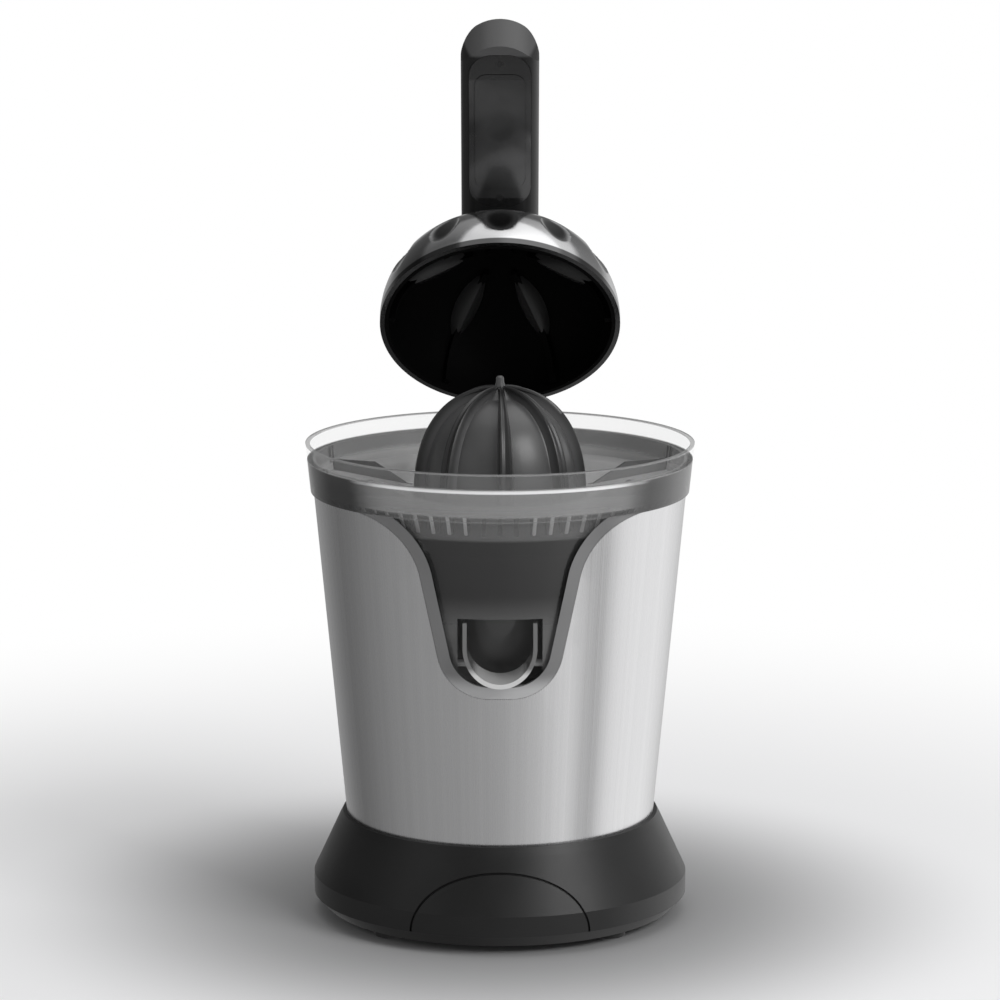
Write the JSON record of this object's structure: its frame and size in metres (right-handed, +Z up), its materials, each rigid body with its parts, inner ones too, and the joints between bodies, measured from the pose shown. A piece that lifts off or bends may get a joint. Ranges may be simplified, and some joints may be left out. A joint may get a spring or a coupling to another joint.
{
  "type": "electric citrus press",
  "caption": "Countertop electric citrus press: tapered steel motor housing on a flared base, ribbed reamer in a clear collector with drip spout, and a hinged lever with a fluted press dome.",
  "frame": {"origin": "on the table, under the reamer's axis", "axes": "+Z up along the reamer's axis, the spout and handle face -Y, +X to the right seen from the front"},
  "size_m": [0.193, 0.2916, 0.44],
  "materials": {
    "base_plastic": "satin black moulded plastic",
    "brushed_steel": "vertically brushed stainless steel",
    "trim_grey": "glossy grey plastic",
    "smoked_clear": "clear smoked plastic",
    "reamer_grey": "glossy dark grey plastic",
    "dome_metal": "dark polished metal",
    "liner_black": "matte black plastic",
    "lever_dark": "satin dark grey plastic",
    "pad_smoke": "smooth smoked panel",
    "rubber_black": "black rubber",
    "plain_steel": "machined steel",
    "gear_nylon": "natural nylon",
    "inner_plastic": "black moulded plastic",
    "bush_brass": "sintered bronze"
  },
  "bodies": {
    "housing": {"base_shell": "base_plastic", "base_plate": "base_plastic", "rubber_feet": "rubber_black", "base_screws": "plain_steel", "cord_gland": "rubber_black", "steel_body": "brushed_steel", "neck_trim": "trim_grey", "collector": "smoked_clear", "strainer": "smoked_clear", "inner_deck": "inner_plastic", "gear_plate": "plain_steel", "plate_screws": "plain_steel", "motor_can": "plain_steel", "motor_stator": "plain_steel", "idler_pin": "plain_steel", "spindle_bush": "bush_brass", "spindle_seal": "rubber_black", "press_switch": "inner_plastic", "hinge_bracket": "lever_dark", "hinge_pin": "plain_steel", "hinge_spring": "plain_steel"},
    "press_carriage": {"thrust_collar": "gear_nylon", "return_spring": "plain_steel"},
    "spindle": {"drive_spindle": "plain_steel", "output_gear": "gear_nylon", "reamer": "reamer_grey"},
    "idler": {"idler_gear": "gear_nylon"},
    "rotor": {"motor_rotor": "plain_steel", "motor_pinion": "plain_steel"},
    "spout": {"drip_spout": "smoked_clear"},
    "lever": {"dome_shell": "dome_metal", "dome_liner": "liner_black", "dome_bolt": "plain_steel", "lever_arm": "lever_dark", "handle_cover": "liner_black", "grip_pad": "pad_smoke", "cover_screws": "plain_steel"}
  },
  "joints": [
    {"name": "lever_hinge", "type": "hinge", "parent": "housing", "child": "lever", "pos_m": [0, 0.104, 0.17], "axis": [1, 0, 0], "range_deg": [0, 50], "stiffness_Nm_per_rad": 0.35, "springref_deg": -114.59},
    {"name": "press_slide", "type": "slide", "parent": "housing", "child": "press_carriage", "axis": [0, 0, -1], "range_m": [0, 0.003], "stiffness_N_per_m": 3000, "springref_m": -0.004, "deforming": ["return_spring"]},
    {"name": "reamer_spin", "type": "hinge", "parent": "press_carriage", "child": "spindle", "pos_m": [0, 0, 0.137], "axis": [0, 0, 1], "continuous": true},
    {"name": "idler_spin", "type": "hinge", "parent": "housing", "child": "idler", "pos_m": [0.03, 0.0225, 0.126], "axis": [0, 0, 1], "continuous": true},
    {"name": "rotor_spin", "type": "hinge", "parent": "housing", "child": "rotor", "pos_m": [0, 0.0225, 0.126], "axis": [0, 0, 1], "continuous": true},
    {"name": "spout_tilt", "type": "hinge", "parent": "housing", "child": "spout", "pos_m": [0, -0.07522, 0.1425], "axis": [-1, 0, 0], "range_deg": [0, 30]}
  ],
  "couplings": [
    {"joint": "idler_spin", "follows": "reamer_spin", "ratio": -4},
    {"joint": "rotor_spin", "follows": "reamer_spin", "ratio": 16}
  ]
}
